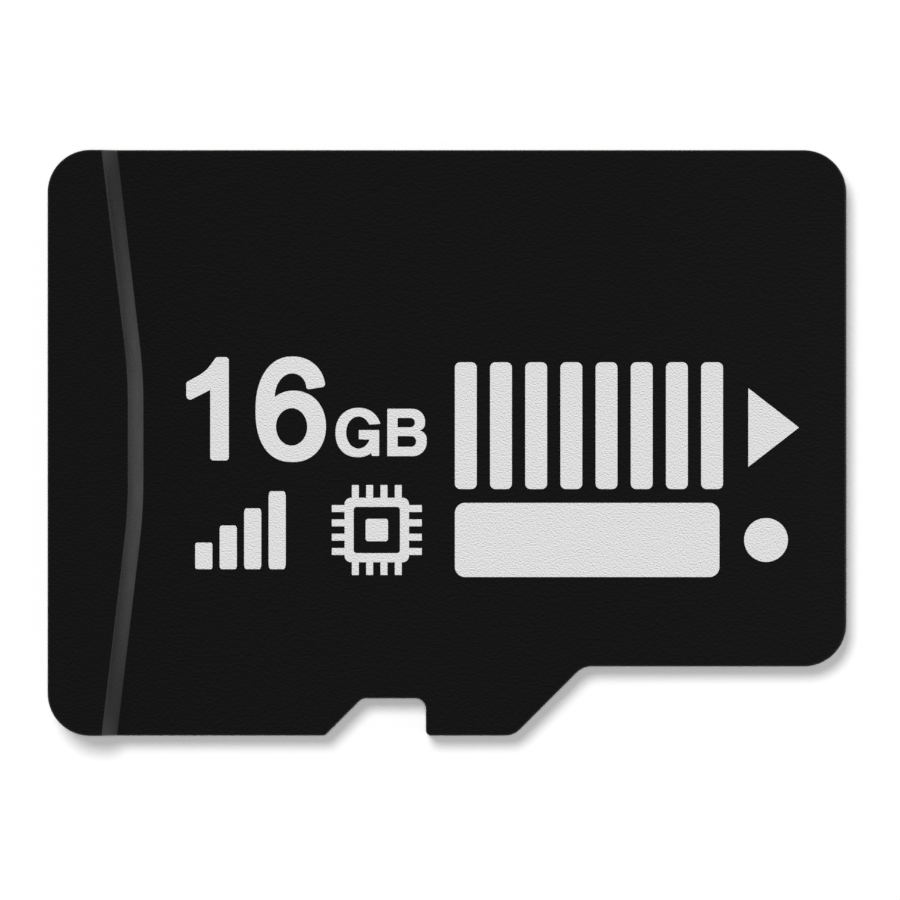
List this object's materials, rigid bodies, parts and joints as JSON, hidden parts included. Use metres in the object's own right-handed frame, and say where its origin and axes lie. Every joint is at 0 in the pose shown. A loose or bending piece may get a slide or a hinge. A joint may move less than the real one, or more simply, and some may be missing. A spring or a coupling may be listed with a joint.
{
  "type": "memory card",
  "caption": "Thin black memory card with a raised fingernail grip, a stepped and notched edge, white printed marks and a row of gold contacts on its back.",
  "frame": {"origin": "middle of the card's outline, on the flat back that it lies on", "axes": "+X towards the contact end, along the card's length; +Y towards the plain long side; +Z out of the printed face"},
  "size_m": [0.015, 0.011, 0.001],
  "materials": {
    "mould_compound": "matt, finely grained moulding compound",
    "print_ink": "matt white ink on the moulded face",
    "solder_mask": "satin black solder mask over a glass-fibre laminate",
    "contact_gold": "gold plating over copper",
    "bond_gold": "drawn gold wire",
    "silicon": "polished silicon",
    "attach_film": "cured amber film adhesive",
    "capacitor_ceramic": "fired tan ceramic",
    "terminal_tin": "dull tin plating"
  },
  "bodies": {
    "root": {"moulded_body": "mould_compound", "substrate_board": "solder_mask", "attach_film_lower": "attach_film", "attach_film_upper": "attach_film", "attach_film_controller": "attach_film", "memory_die_lower": "silicon", "memory_die_upper": "silicon", "controller_die": "silicon", "memory_bond_fingers": "contact_gold", "controller_bond_fingers": "contact_gold", "memory_wires_lower": "bond_gold", "memory_wires_upper": "bond_gold", "controller_wires": "bond_gold", "contact_1_data_2": "contact_gold", "contact_2_data_3": "contact_gold", "contact_3_command": "contact_gold", "contact_4_supply": "contact_gold", "contact_5_clock": "contact_gold", "contact_6_ground": "contact_gold", "contact_7_data_0": "contact_gold", "contact_8_data_1": "contact_gold", "capacitor_body_1": "capacitor_ceramic", "capacitor_body_2": "capacitor_ceramic", "capacitor_body_3": "capacitor_ceramic", "capacitor_terminals_1": "terminal_tin", "capacitor_terminals_2": "terminal_tin", "capacitor_terminals_3": "terminal_tin"}
  },
  "joints": []
}
